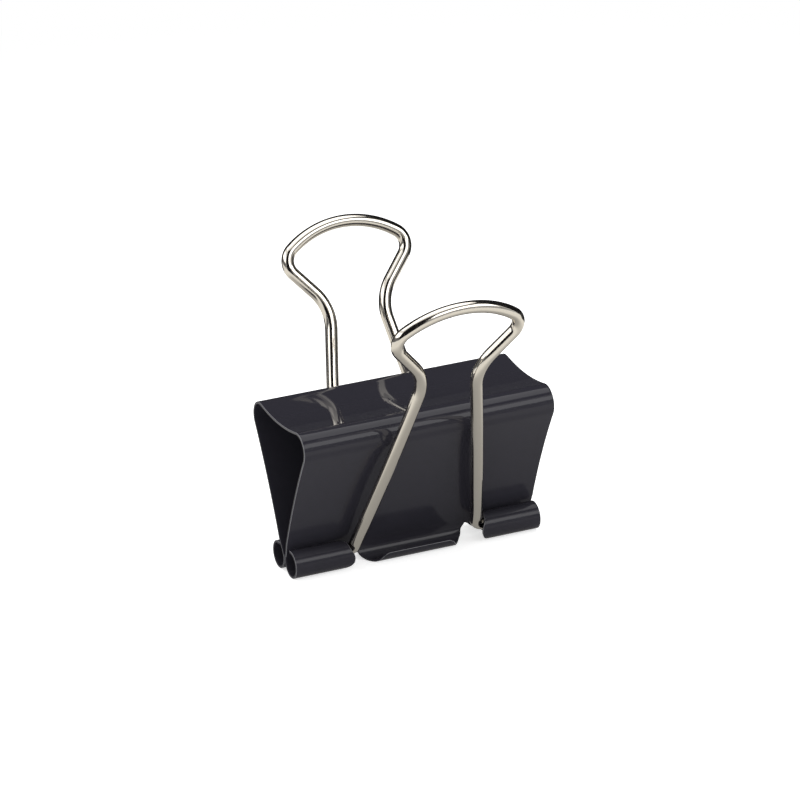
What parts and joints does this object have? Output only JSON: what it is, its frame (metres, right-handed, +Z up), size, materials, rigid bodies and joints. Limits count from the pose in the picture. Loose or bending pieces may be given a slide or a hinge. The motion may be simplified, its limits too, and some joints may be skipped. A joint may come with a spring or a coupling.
{
  "type": "binder clip",
  "caption": "Spring-steel binder clip with a rolled-edge black body that grips a stack of paper and keyhole-shaped wire handles that swing and lever it open.",
  "frame": {"origin": "centred between the closed jaws, level with the undersides of the rolled edges that the clip stands on", "axes": "+X along the jaws, +Y from the front jaw to the rear jaw, +Z up from the jaws' edges to the spine and handles"},
  "size_m": [0.051, 0.0552, 0.0582],
  "materials": {
    "black_lacquer": "glossy black lacquer on spring steel",
    "nickel_plate": "bright nickel plating on steel wire"
  },
  "bodies": {
    "spine": {"spine": "black_lacquer"},
    "front_jaw": {"front_jaw": "black_lacquer"},
    "rear_jaw": {"rear_jaw": "black_lacquer"},
    "front_handle": {"front_handle": "nickel_plate"},
    "rear_handle": {"rear_handle": "nickel_plate"}
  },
  "joints": [
    {"name": "front_jaw_open", "type": "hinge", "parent": "spine", "child": "front_jaw", "pos_m": [0, -0.00462, 0.03045], "axis": [-1, 0, 0], "range_deg": [0, 26], "stiffness_Nm_per_rad": 4},
    {"name": "rear_jaw_open", "type": "hinge", "parent": "spine", "child": "rear_jaw", "pos_m": [0, 0.00462, 0.03045], "axis": [1, 0, 0], "range_deg": [0, 26], "stiffness_Nm_per_rad": 4},
    {"name": "front_handle_swing", "type": "hinge", "parent": "front_jaw", "child": "front_handle", "pos_m": [0, -0.00318, 0.00335], "axis": [1, 0, 0], "range_deg": [-2, 158]},
    {"name": "rear_handle_swing", "type": "hinge", "parent": "rear_jaw", "child": "rear_handle", "pos_m": [0, 0.00318, 0.00335], "axis": [-1, 0, 0], "range_deg": [-2, 158]}
  ],
  "couplings": [
    {"joint": "rear_jaw_open", "follows": "front_jaw_open", "ratio": 1}
  ]
}
